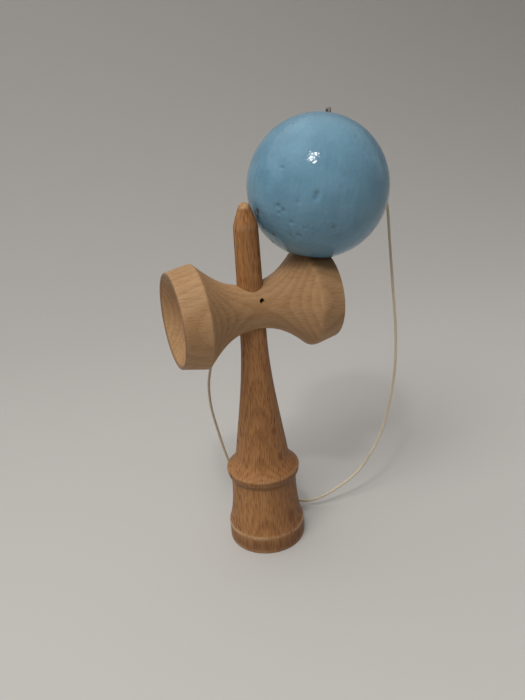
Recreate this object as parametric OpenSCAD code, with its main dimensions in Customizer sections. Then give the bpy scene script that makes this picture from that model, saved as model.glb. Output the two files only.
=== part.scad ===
// Cup and ball toy: a turned wooden handle with a spike, a two-cup cross piece
// pressed onto the spike, and a drilled, lacquered ball on a string.
// Millimetres. The foot stands on z = 0, the spike points up along +Z, and the
// small cup of the cross piece faces +X.

/* [Handle] */
// Height of the handle from the floor to the end of the spike
handle_h = 166; // [160:0.5:175]
// Radius of the foot where it meets the floor
foot_r = 18.4; // [17:0.1:20]
// Radius of the edge round the top of the foot
foot_edge_r = 18.5; // [17.5:0.1:20.5]
// Height of the edge round the top of the foot
foot_h = 9.4; // [7:0.1:12]
// Width of the flat ring that the foot stands on
foot_ring = 2.6; // [2:0.1:3.5]
// Small round at the outside of the standing ring
foot_round = 0.3; // [0.2:0.1:0.8]
// Depth of the dish under the foot, the third cup
base_dish = 6.4; // [6:0.1:7.5]
// Radius of the waist between foot and collar
waist_r = 15.6; // [14:0.1:16.2]
// Height of the narrowest part of the waist
waist_z = 31; // [28:0.5:32]
// Radius of the collar above the waist
collar_r = 17.5; // [16.5:0.1:19]
// Height of the edge of the collar
collar_z = 39.4; // [38:0.1:42]
// Radius of the grip where it rises from the collar
grip_r = 12.5; // [11:0.1:13.5]
// Height at which the grip rises from the collar
grip_z = 47.5; // [45.5:0.5:50]
// Radius of the spike where the grip runs into it
spike_r = 6; // [5.6:0.1:6.6]
// Length of the spike, from its end down to where the grip runs into it
spike_len = 60; // [56:0.5:66]
// Radius of the spike at the shoulder of its tip
shoulder_r = 5.3; // [5:0.1:5.4]
// Length of the tapered tip
tip_len = 9.2; // [8.6:0.1:10]
// Radius of the blunt end of the tip
tip_r = 2.3; // [1.6:0.1:3]

/* [Cross piece] */
// Distance from the end of the spike down to the axis of the cross piece
cross_drop = 45.5; // [44:0.1:47]
// Radius of the neck between the cups
neck_r = 10.2; // [9.8:0.1:11]
// Distance from the spike to the rim of the big cup
big_len = 35.8; // [33:0.1:38]
// Radius of the big cup at its rim
big_rim_r = 20.8; // [19.5:0.1:22]
// Radius of the big cup at its ridge
big_ridge_r = 23; // [22.2:0.1:25]
// Length of the band between ridge and rim of the big cup
big_band = 11.2; // [9:0.1:12]
// Depth of the dish in the big cup
big_dish = 8.6; // [7.5:0.1:10]
// Distance from the spike to the rim of the small cup
small_len = 36; // [34:0.1:37]
// Radius of the small cup at its rim
small_rim_r = 19.9; // [19:0.1:20.6]
// Radius of the small cup at its ridge
small_ridge_r = 22.3; // [21.4:0.1:23]
// Length of the band between ridge and rim of the small cup
small_band = 10.9; // [9.5:0.1:11.5]
// Depth of the dish in the small cup
small_dish = 8; // [7:0.1:9.5]
// Width of the flat lip round each dish
lip = 1.2; // [0.8:0.1:2]
// Diameter of the string hole, drilled front to back
cord_hole_d = 2.2; // [2.2:0.1:2.8]
// Sideways offset of the string hole from the spike
cord_hole_x = 2; // [1:0.1:2.5]
// Height of the string hole above the axis of the cross piece
cord_hole_rise = 4.9; // [4.5:0.1:5.1]

/* [Ball] */
// Diameter of the ball
ball_d = 61; // [58:0.5:62]
// Diameter of the hole that takes the spike
hole_d = 21.4; // [20:0.1:22.4]
// Bevel round the mouth of the hole
hole_bevel = 0.6; // [0.4:0.1:1]
// Depth of the straight part of the hole from the bottom of the ball
hole_depth = 46; // [40:0.5:47]
// Point angle of the drilled end of the hole
drill_angle = 118; // [110:1:130]
// Diameter of the string hole in the top of the ball
top_hole_d = 3.2; // [2.6:0.1:3.6]
// Countersink round the string hole in the top of the ball
top_bevel = 0.9; // [0.5:0.1:1.2]
// Diameter of the stop bead on the end of the string
bead_d = 8; // [6:0.1:9]

/* [String] */
// Diameter of the string
cord_d = 1.5; // [1.2:0.1:1.6]
// Radius of the bend with which the string turns out of the ball
cord_bend = 3; // [2.8:0.1:3.5]
// Diameter of a pulled-up knot
knot_d = 3.2; // [3:0.1:3.3]
// Height of a pulled-up knot
knot_h = 1; // [0.9:0.1:1.1]

/* [Clearances] */
// Radial clearance between the tapered spike and its bore
bore_fit = 0.05; // [0.02:0.01:0.1]
// Gap left where the ball rests on the toy and the bead inside the ball
rest_gap = 0.3; // [0.2:0.05:0.4]
// Clearance between the string and the bead that it passes through
thread_fit = 0.2; // [0.1:0.05:0.3]
// Clearance between a knot and the recess that it is pulled into
knot_fit = 0.3; // [0.25:0.05:0.35]

/* [Hidden] */
$fn = 96;
SPAN = 12;
SKIN = 0.1;

shoulder_z = handle_h - tip_len;
spike_z = handle_h - spike_len;
cross_z = handle_h - cross_drop;
waist_rise = waist_z - foot_h;
collar_rise = collar_z - waist_z;
collar_out = collar_r - grip_r;
// The sharp line at which the side of the collar is cut in to the waist.
under_collar = [waist_r + 0.3 * (collar_r - waist_r), waist_z + 0.58 * collar_rise];
grip_len = spike_z - grip_z;
spike_slope = (spike_r - shoulder_r) / (shoulder_z - spike_z);
ball_r = ball_d / 2;
hole_r = hole_d / 2;

// Radius of the tapered spike at height z.
function spike_at(z) = shoulder_r + spike_slope * (shoulder_z - z);

// Points of a smooth curve from a to d, steered by b and c, without its last point.
function curve(a, b, c, d) = [for (i = [0:SPAN - 1]) let (t = i / SPAN, s = 1 - t)
    s * s * s * a + 3 * s * s * t * b + 3 * s * t * t * c + t * t * t * d];

// Radius of the sphere that cuts a dish of the given mouth radius and depth.
function dish_r(mouth, depth) = (mouth * mouth + depth * depth) / (2 * depth);

function unit(v) = v / norm(v);

// The ball rests with the mouth of its hole across the band of the small cup and
// leans on the tip of the spike. Plan of the seat: x along the cross piece, y up.
band_tilt = atan2(small_ridge_r - small_rim_r, small_band);
band_len = norm([small_band, small_ridge_r - small_rim_r]);
band_dir = [cos(band_tilt), -sin(band_tilt)];
band_up = [sin(band_tilt), cos(band_tilt)];
ridge_top = [small_len - small_band, cross_z + small_ridge_r];
mouth_r = hole_r + hole_bevel;
mouth_drop = sqrt(ball_r * ball_r - mouth_r * mouth_r);

// Half width of the mouth at distance d from its middle.
function mouth_half(d) = sqrt(max(mouth_r * mouth_r - d * d, 0));

// How far a band of radius r falls away at distance y to either side of its top.
function fall(r, y) = let (q = r / cos(band_tilt)) q - sqrt(q * q - y * y);

// Height of the centre of the ball over the band with its mouth t past the ridge:
// the mouth straddles the band and meets it first at the ridge or at the rim.
function seat_h(t) = mouth_drop + rest_gap
    - min(fall(small_ridge_r, mouth_half(t)), fall(small_rim_r, mouth_half(band_len - t)));

// How far past the ridge the ball stands when it leans on one point of the spike.
function lean(corner, h) = let (p = ridge_top + band_up * h - corner, k = p * band_dir)
    -k + sqrt(k * k - p * p + (ball_r + rest_gap) * (ball_r + rest_gap));

// Points along the side of the tip, from its shoulder up to its blunt end.
tip_side = [for (k = [0:0.25:1])
    [shoulder_r + k * (tip_r - shoulder_r), shoulder_z + k * (tip_len - 0.5)]];

function settle(t, n) = n == 0 ? t
    : settle(max([for (corner = tip_side) lean(corner, seat_h(t))]), n - 1);

seat_t = settle(small_band / 4, 5);
seat = ridge_top + band_dir * seat_t + band_up * seat_h(seat_t);
ball_pos = [seat.x, 0, seat.y];
ball_up = [band_up.x, 0, band_up.y];

// Heights in the ball along its hole, measured from the centre of the ball.
drill_half = drill_angle / 2;
hole_top = hole_depth - ball_r;
hole_apex = hole_top + hole_r / tan(drill_half);
bead_z = hole_apex - (bead_d / 2 + rest_gap) / sin(drill_half);
bead_hole_r = cord_d / 2 + thread_fit;
bead_flat = sqrt(bead_d * bead_d / 4 - bead_hole_r * bead_hole_r);
knot_z = bead_z - bead_flat - knot_h;
cord_top = ball_r - 1.8 - rest_gap;

// The knot in the cross piece sits in a recess between spike and string hole.
cord_hole_z = cross_z + cord_hole_rise;
knot_y = spike_at(cord_hole_z) + rest_gap + SKIN;
recess_d = knot_d + 2 * knot_fit;
recess_y = knot_y + knot_h + SKIN;

// Route of the string from the top of the ball, down behind it to the floor, round
// the back of the foot and up to the string hole in the back of the cross piece.
ball_exit = ball_pos + ball_up * (cord_top + rest_gap);
bend_side = [band_up.y * cos(70), sin(70), -band_up.x * cos(70)];
cord_route = concat(
    [for (a = [0:30:90]) ball_exit
        + cord_bend * (sin(a) * ball_up + (1 - cos(a)) * bend_side)],
    [[43, 8, 198.6], [46.8, 15, 194.8], [52, 18, 190.8], [57, 17, 187], [61.5, 14, 181.5],
    [65, 10, 174], [67.7, 5.5, 165.5], [69, 2, 157], [70.2, 1, 138], [71.8, 0.5, 116.5],
    [73, 0, 100], [73.5, 0, 88], [73.2, 0, 74], [70.9, 0.5, 56.5], [66.7, 1, 40],
    [60.8, 2, 27.3], [52.7, 3, 16.7], [41.2, 4.5, 9.3], [30, 6.5, 4.8], [21.8, 11.5, 3.6],
    [13, 19, 6], [3, 22.5, 13], [-6, 22, 23], [-11.2, 21, 32.5], [-15, 21, 50],
    [-17.5, 21, 66], [-17.2, 21, 79], [-14, 21, 91], [-8.5, 21, 105], [-2.5, 18.5, 117.5]],
    [[cord_hole_x, 13.5, cord_hole_z - 1], [cord_hole_x, 9, cord_hole_z],
    [cord_hole_x, knot_y + knot_h, cord_hole_z]]
);
STEPS = 2;
SIDES = 8;

// Point at parameter t of the smooth line through b and c, with neighbours a and d.
function pass(a, b, c, d, t) = 0.5 * (2 * b + (c - a) * t
    + (2 * a - 5 * b + 4 * c - d) * t * t + (3 * b - a - 3 * c + d) * t * t * t);

last = len(cord_route) - 1;
cord_line = [
    for (i = [0:last - 1], j = [0:STEPS - 1])
        pass(cord_route[max(i - 1, 0)], cord_route[i], cord_route[i + 1],
            cord_route[min(i + 2, last)], j / STEPS),
    cord_route[last]
];
rings = len(cord_line);
cord_dirs = [for (i = [0:rings - 1])
    i == 0 ? ball_up
    : i == rings - 1 ? [0, -1, 0]
    : unit(cord_line[i + 1] - cord_line[i - 1])];

// Part of v square to the direction d.
function square_to(d, v) = unit(v - (v * d) * d);

cord_sides = [
    for (i = 0, v = square_to(cord_dirs[0], [1, 0, 0]); i < rings;
        i = i + 1, v = i < rings ? square_to(cord_dirs[i], v) : v) v
];

module turned(outline) {
    rotate_extrude() polygon(outline);
}

// Half outline of one cup of the cross piece, from the neck to the lip.
function cup(len, band, ridge_r, rim_r, nose) = concat(
    curve([neck_r, 0], [neck_r, 0.38 * (len - band)],
        [neck_r + 0.28 * (ridge_r - neck_r), 0.62 * (len - band)],
        [ridge_r - 0.8 * nose, len - band - nose]),
    curve([ridge_r - 0.8 * nose, len - band - nose],
        [ridge_r - 0.2 * nose, len - band - 0.4 * nose],
        [ridge_r, len - band - 0.2 * nose], [ridge_r, len - band]),
    [[ridge_r, len - band], [rim_r, len], [0, len]]
);

module cup_half(len, band, ridge_r, rim_r, nose, dish) {
    difference() {
        turned(concat([[0, 0]], cup(len, band, ridge_r, rim_r, nose)));
        translate([0, 0, len - dish + dish_r(rim_r - lip, dish)])
            sphere(r = dish_r(rim_r - lip, dish));
    }
}

module knot() {
    rotate_extrude() {
        square([(knot_d - knot_h) / 2, knot_h]);
        translate([(knot_d - knot_h) / 2, knot_h / 2]) intersection() {
            circle(d = knot_h);
            translate([-knot_h / 4, -knot_h / 2]) square(knot_h);
        }
    }
}

module handle() {
    color("#b5825c") difference() {
        turned(concat(
            [[0, 0], [foot_r - foot_round, 0]],
            curve([foot_r - foot_round, 0], [foot_r - foot_round / 2, 0],
                [foot_r, foot_round / 2], [foot_r, foot_round]),
            [[foot_r, foot_round], [foot_edge_r, foot_h - 0.4]],
            curve([foot_edge_r - 0.3, foot_h + 0.3],
                [foot_edge_r - 0.65 * (foot_edge_r - waist_r), foot_h + 0.23 * waist_rise],
                [waist_r, waist_z - 0.37 * waist_rise], [waist_r, waist_z]),
            curve([waist_r, waist_z], [waist_r, waist_z + 0.3 * collar_rise],
                [waist_r + 0.05 * (collar_r - waist_r), waist_z + 0.5 * collar_rise], under_collar),
            curve(under_collar, [collar_r - 0.3 * (collar_r - waist_r), under_collar.y + 0.2],
                [collar_r - 0.15 * (collar_r - waist_r), under_collar.y + 0.9],
                [collar_r - 0.2, collar_z - 1.2]),
            [[collar_r - 0.2, collar_z - 1.2], [collar_r, collar_z - 0.3]],
            curve([collar_r - 0.1, collar_z + 0.4],
                [collar_r - 0.4 * collar_out, collar_z + 0.27 * (grip_z - collar_z)],
                [grip_r + 0.12 * collar_out, grip_z - 0.43 * (grip_z - collar_z)],
                [grip_r, grip_z]),
            curve([grip_r, grip_z],
                [grip_r - 0.29 * (grip_r - spike_r), grip_z + 0.25 * grip_len],
                [spike_r + 0.34 * grip_len * spike_slope, spike_z - 0.34 * grip_len],
                [spike_r, spike_z]),
            [[spike_r, spike_z], [shoulder_r, shoulder_z], [tip_r, handle_h - 0.5],
                [tip_r - 0.5, handle_h], [0, handle_h]]
        ));
        translate([0, 0, base_dish - dish_r(foot_r - foot_round - foot_ring, base_dish)])
            sphere(r = dish_r(foot_r - foot_round - foot_ring, base_dish));
    }
}

module cross_piece() {
    reach = neck_r + 4;
    color("#c99a70") difference() {
        translate([0, 0, cross_z]) union() {
            rotate([0, 90, 0])
                cup_half(small_len, small_band, small_ridge_r, small_rim_r, 1.6, small_dish);
            rotate([0, -90, 0])
                cup_half(big_len, big_band, big_ridge_r, big_rim_r, 0.8, big_dish);
        }
        translate([0, 0, cross_z - reach])
            cylinder(h = 2 * reach, r1 = spike_at(cross_z - reach) + bore_fit,
                r2 = spike_at(cross_z + reach) + bore_fit);
        translate([cord_hole_x, -big_rim_r, cord_hole_z]) rotate([-90, 0, 0])
            cylinder(h = 2 * big_rim_r, d = cord_hole_d);
        translate([cord_hole_x, -recess_y, cord_hole_z]) rotate([-90, 0, 0])
            cylinder(h = 2 * recess_y, d = recess_d);
    }
}

module cross_piece_knot() {
    color("#e6dcc3") translate([cord_hole_x, knot_y, cord_hole_z]) rotate([-90, 0, 0]) knot();
}

// Places a piece that is drawn about the centre of the ball, with its hole downward.
module in_ball() {
    translate(ball_pos) rotate([0, band_tilt, 0]) children();
}

module ball() {
    color("#7fa9c6") in_ball() rotate_extrude() difference() {
        intersection() {
            circle(r = ball_r);
            translate([0, -ball_r]) square([ball_r, ball_d]);
        }
        polygon([[-1, -ball_d], [mouth_r + ball_r, -mouth_drop - ball_r],
            [hole_r, -mouth_drop + hole_bevel], [hole_r, hole_top], [0, hole_apex],
            [-1, hole_apex]]);
        translate([-1, 0]) square([1 + top_hole_d / 2, ball_d]);
        polygon([[-1, ball_r - top_bevel], [top_hole_d / 2, ball_r - top_bevel],
            [top_hole_d / 2 + 2 * top_bevel, ball_r + top_bevel], [-1, ball_r + top_bevel]]);
    }
}

module stop_bead() {
    color("#d8b98a") in_ball() translate([0, 0, bead_z]) difference() {
        sphere(d = bead_d);
        cylinder(h = 2 * bead_d, r = bead_hole_r, center = true);
    }
}

module bead_knot() {
    color("#e6dcc3") in_ball() translate([0, 0, knot_z]) knot();
}

module ball_string() {
    color("#e6dcc3") in_ball() translate([0, 0, knot_z + knot_h])
        cylinder(h = cord_top - knot_z - knot_h, d = cord_d);
}

module string() {
    color("#e6dcc3") polyhedron(
        points = [for (i = [0:rings - 1], k = [0:SIDES - 1])
            cord_line[i] + cord_d / 2 * (cos(360 * k / SIDES) * cord_sides[i]
                + sin(360 * k / SIDES) * cross(cord_dirs[i], cord_sides[i]))],
        faces = concat(
            [for (k = [1:SIDES - 2]) [0, k, k + 1]],
            [for (k = [1:SIDES - 2]) [SIDES * (rings - 1), SIDES * (rings - 1) + k + 1,
                SIDES * (rings - 1) + k]],
            [for (i = [0:rings - 2], k = [0:SIDES - 1])
                [SIDES * i + k, SIDES * (i + 1) + k, SIDES * i + (k + 1) % SIDES]],
            [for (i = [0:rings - 2], k = [0:SIDES - 1])
                [SIDES * (i + 1) + k, SIDES * (i + 1) + (k + 1) % SIDES,
                    SIDES * i + (k + 1) % SIDES]]
        )
    );
}

handle();
cross_piece();
cross_piece_knot();
ball();
stop_bead();
bead_knot();
ball_string();
string();
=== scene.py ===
import math

import bpy
from mathutils import Matrix, Vector, noise


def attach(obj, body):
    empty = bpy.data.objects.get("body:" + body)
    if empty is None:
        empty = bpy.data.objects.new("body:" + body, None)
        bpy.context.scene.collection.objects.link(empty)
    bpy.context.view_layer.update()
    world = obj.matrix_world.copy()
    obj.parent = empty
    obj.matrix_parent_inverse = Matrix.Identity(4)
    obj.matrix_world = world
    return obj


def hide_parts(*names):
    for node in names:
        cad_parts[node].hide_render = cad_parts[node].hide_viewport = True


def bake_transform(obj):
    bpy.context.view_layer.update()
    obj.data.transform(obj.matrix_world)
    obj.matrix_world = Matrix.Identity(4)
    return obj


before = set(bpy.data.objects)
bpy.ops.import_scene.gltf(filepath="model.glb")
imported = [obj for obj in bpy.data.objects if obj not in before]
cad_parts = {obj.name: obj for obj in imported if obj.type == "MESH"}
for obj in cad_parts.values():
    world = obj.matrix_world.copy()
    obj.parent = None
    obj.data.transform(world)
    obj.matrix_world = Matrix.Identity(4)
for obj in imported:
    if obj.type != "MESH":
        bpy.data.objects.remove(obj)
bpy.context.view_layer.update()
scene = bpy.context.scene
scene.view_settings.view_transform = "Standard"

MM = 0.001
QUARTER = math.pi / 2

# Sizes of the toy, in mm, as in the part's source: R is a radius and Z a height over the floor
HANDLE_H = 166.0
TIP_LEN, TIP_R = 9.2, 2.3
SHOULDER_R, SHOULDER_Z = 5.3, HANDLE_H - TIP_LEN
SPIKE_R, SPIKE_Z = 6.0, 106.0
SPIKE_SLOPE = (SPIKE_R - SHOULDER_R) / (SHOULDER_Z - SPIKE_Z)
GRIP_R, GRIP_Z = 12.5, 47.5
COLLAR_R, COLLAR_Z = 17.5, 39.4
WAIST_R, WAIST_Z = 15.6, 31.0
FOOT_EDGE_R, FOOT_H = 18.5, 9.4
FOOT_R, FOOT_ROUND, FOOT_RING = 18.4, 0.3, 2.6
BASE_DISH = 6.4
CROSS_Z = 120.5
NECK_R = 10.2
LIP = 1.2
# The two cups of the cross piece: soft is how far a ridge is rubbed round
BIG = dict(length=35.8, band=11.2, ridge=23.0, rim=20.8, nose=0.8, depth=8.6, soft=0.6)
SMALL = dict(length=36.0, band=10.9, ridge=22.3, rim=19.9, nose=1.6, depth=8.0, soft=3.2)
BORE_FIT, BORE_REACH = 0.05, NECK_R + 4
CORD_HOLE = Vector((2.0, 0.0, 125.4))
CORD_HOLE_R, CORD_HOLE_LEN = 1.1, 60.0
CORD_R = 0.75
KNOT_R, KNOT_H = 1.6, 1.0
KNOT_Y, KNOT_ROOM, KNOT_GAP = 6.13, 0.3, 0.1
# The ball, with heights along the axis of its hole measured from its centre
BALL_R = 30.5
BALL_AT = Vector((33.7968, 0.0, 168.6318))
BALL_TILT = math.atan2(SMALL["ridge"] - SMALL["rim"], SMALL["band"])
BALL_UP = Vector((math.sin(BALL_TILT), 0.0, math.cos(BALL_TILT)))
HOLE_R, HOLE_BEVEL, HOLE_DEPTH = 10.7, 0.6, 46.0
TOP_HOLE_R, TOP_BEVEL = 1.6, 0.9
DRILL_HALF = math.radians(118.0 / 2)
HOLE_END = HOLE_DEPTH - BALL_R
HOLE_APEX = HOLE_END + HOLE_R / math.tan(DRILL_HALF)
BEAD_R, BEAD_BORE, BEAD_GAP = 4.0, CORD_R + 0.2, 0.3
BEAD_Z = HOLE_APEX - (BEAD_R + BEAD_GAP) / math.sin(DRILL_HALF)
BEAD_END = math.sqrt(BEAD_R ** 2 - BEAD_BORE ** 2)
BEAD_KNOT_Z = BEAD_Z - BEAD_END - KNOT_H


# Camera: its place in mm, its angles in degrees, and its reach, the focal length in image heights
CAMERA_AT = (-91.79, -266.79, 221.05)
CAMERA_YAW, CAMERA_PITCH, CAMERA_ROLL = 19.714, 23.305, -3.934
CAMERA_REACH = 680 / 700
SENSOR, NEAREST = 24.0, 0.01


def stand_camera():
    """Places the camera, turned from +Y by its yaw, tipped down by its pitch and then rolled."""
    yaw, pitch, roll = (math.radians(angle) for angle in (CAMERA_YAW, CAMERA_PITCH, CAMERA_ROLL))
    ahead = Vector((math.sin(yaw) * math.cos(pitch), math.cos(yaw) * math.cos(pitch), -math.sin(pitch)))
    side = Vector((math.cos(yaw), -math.sin(yaw), 0.0))
    up = side.cross(ahead)
    right = math.cos(roll) * side + math.sin(roll) * up
    top = math.cos(roll) * up - math.sin(roll) * side
    lens = bpy.data.cameras.new("camera")
    lens.sensor_fit = "VERTICAL"
    lens.sensor_height = SENSOR
    lens.lens = SENSOR * CAMERA_REACH
    lens.clip_start = NEAREST
    camera = bpy.data.objects.new("camera", lens)
    facing = Matrix((right, top, -ahead)).transposed().to_4x4()
    camera.matrix_world = Matrix.Translation(Vector(CAMERA_AT) * MM) @ facing
    scene.collection.objects.link(camera)
    scene.camera = camera


stand_camera()


# Node building

class Wire:
    """An output of a node, which takes part in Python sums."""

    def __init__(self, bench, socket):
        self.bench, self.socket = bench, socket

    def pick(self, name):
        """Another output of the same node."""
        return Wire(self.bench, self.socket.node.outputs[name])

    def _sum(self, operation, *values):
        return self.bench.node("ShaderNodeMath", {"operation": operation}, dict(enumerate(values)))

    def __add__(self, other):
        return self._sum("ADD", self, other)

    def __radd__(self, other):
        return self._sum("ADD", other, self)

    def __sub__(self, other):
        return self._sum("SUBTRACT", self, other)

    def __rsub__(self, other):
        return self._sum("SUBTRACT", other, self)

    def __mul__(self, other):
        return self._sum("MULTIPLY", self, other)

    def __rmul__(self, other):
        return self._sum("MULTIPLY", other, self)

    def __truediv__(self, other):
        return self._sum("DIVIDE", self, other)

    def __pow__(self, other):
        return self._sum("POWER", self, other)

    def most(self, other):
        return self._sum("MAXIMUM", self, other)

    def part(self):
        return self._sum("FRACT", self)

    def wave(self):
        return self._sum("SINE", self)


class Bench:
    """A node tree under construction."""

    def __init__(self, tree):
        self.tree = tree
        tree.nodes.clear()

    def node(self, kind, settings=None, sockets=None, out=0):
        """Adds a node: its settings come first, then the values or links of its sockets."""
        made = self.tree.nodes.new(kind)
        for key, value in (settings or {}).items():
            setattr(made, key, value)
        for key, value in (sockets or {}).items():
            socket = made.inputs[key]
            if isinstance(value, Wire):
                self.tree.links.new(value.socket, socket)
            else:
                socket.default_value = value
        return Wire(self, made.outputs[out]) if made.outputs else made


class Paint(Bench):
    """A material, with the few steps that the finishes share."""

    def __init__(self, name):
        self.material = bpy.data.materials.new(name)
        self.material.use_nodes = True
        super().__init__(self.material.node_tree)

    def place(self, turn=(0, 0, 0), shift=(0, 0, 0)):
        """Object coordinates in mm, turned and then shifted."""
        spot = self.node("ShaderNodeTexCoord").pick("Object")
        return self.node("ShaderNodeMapping", None, {
            "Vector": spot, "Scale": [1 / MM] * 3, "Rotation": turn, "Location": shift})

    def split(self, vector):
        made = self.node("ShaderNodeSeparateXYZ", None, {0: vector})
        return made, made.pick("Y"), made.pick("Z")

    def join(self, x, y, z):
        return self.node("ShaderNodeCombineXYZ", None, {0: x, 1: y, 2: z})

    def stretch(self, vector, by):
        return self.node("ShaderNodeVectorMath", {"operation": "MULTIPLY"}, {0: vector, 1: by})

    def length(self, vector):
        return self.node("ShaderNodeVectorMath", {"operation": "LENGTH"}, {0: vector}, out="Value")

    def noise(self, vector, detail=2.0, rough=0.5):
        return self.node("ShaderNodeTexNoise", None, {
            "Vector": vector, "Scale": 1.0, "Detail": detail, "Roughness": rough})

    def between(self, value, low, high):
        """A soft step from 0 where the value is low to 1 where it is high."""
        return self.node("ShaderNodeMapRange", {"interpolation_type": "SMOOTHSTEP"}, {
            "Value": value, "From Min": low, "From Max": high})

    def mix(self, share, under, over):
        return self.node("ShaderNodeMix", {"data_type": "RGBA"}, {0: share, 6: under, 7: over}, out=2)

    def mark(self, name):
        """A number that the piece keeps for each of its points."""
        return self.node("ShaderNodeAttribute", {"attribute_name": name}).pick("Fac")

    def bump(self, height, strength, distance):
        return self.node("ShaderNodeBump", None, {
            "Height": height, "Strength": strength, "Distance": distance})

    def finish(self, fixed, **changing):
        """Closes the material: sockets that are the same all over, then those that change."""
        sockets = dict(fixed)
        sockets.update({key.replace("_", " "): value for key, value in changing.items()})
        shade = self.node("ShaderNodeBsdfPrincipled", None, sockets)
        self.node("ShaderNodeOutputMaterial", None, {"Surface": shade})
        return self.material


def tone(*screen):
    """Linear colour from screen values of red, green and blue, each from 11 to 255."""
    return tuple(((value / 255 + 0.055) / 1.055) ** 2.4 for value in screen) + (1.0,)


# Beech: how far apart its dark rays lie round the pith, out from it and along the grain, in mm
RAY_SIDE, RAY_DEEP, RAY_RUN = 0.85, 2.3, 5.6
# How wide, deep and long a ray is, as shares of those: the least, and what luck adds to it
RAY_WIDE, RAY_WIDER = 0.15, 0.13
RAY_LONG, RAY_LONGER = 0.34, 0.40
RAY_DEPTH_SQUARED = 0.45
# Where lengths round the pith are true, and how far the wandering grain moves rings and rays, in mm
PITH_AWAY, RING_WANDER, RAY_WANDER = 62.0, 5.0, 1.4
# Waves per mm across and along the grain
WANDER_WAVES = (0.05, 0.05, 0.012)
CLOUD_WAVES = (0.055, 0.055, 0.022)
FIBRE_SIDE, FIBRE_RUN = 6.5, 0.16
DOT_SIDE, DOT_DEEP, DOT_RUN, DOT_SHIFT = 4.2, 0.3, 0.30, 40.0
# Small swirls in the grain on the right of the handle, over the collar and over the foot
HANDLE_EYES = [((3.4, -10.0, 62.2), 1.9), ((5.0, -11.3, 48.4), 2.1), ((7.4, -15.0, 16.6), 3.3)]
EYE_SQUASH, EYE_RINGS, EYE_RAYS, EYE_SHADE = (1.0, 1.0, 0.62), 2.2, 0.5, 0.5
# How much the dots, the swirls, and the dirt and painted shade show, and where the reddening with painted
# shade starts, ends and frays, in mm
DOT_SHOW, EYE_SHOW, DIRT_AND_SHADE_SHOW = 0.25, 0.34, 0.32
RED_START, RED_END, RED_FRAY = -4.0, 14.0, 14.0
EYE_BROWN, SIDE_RED_AND_SHADE = tone(108, 58, 34), tone(112, 62, 38)
WORN_PALE, DIRT_AND_SHADE_BROWN = tone(204, 172, 134), tone(66, 40, 24)


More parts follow.
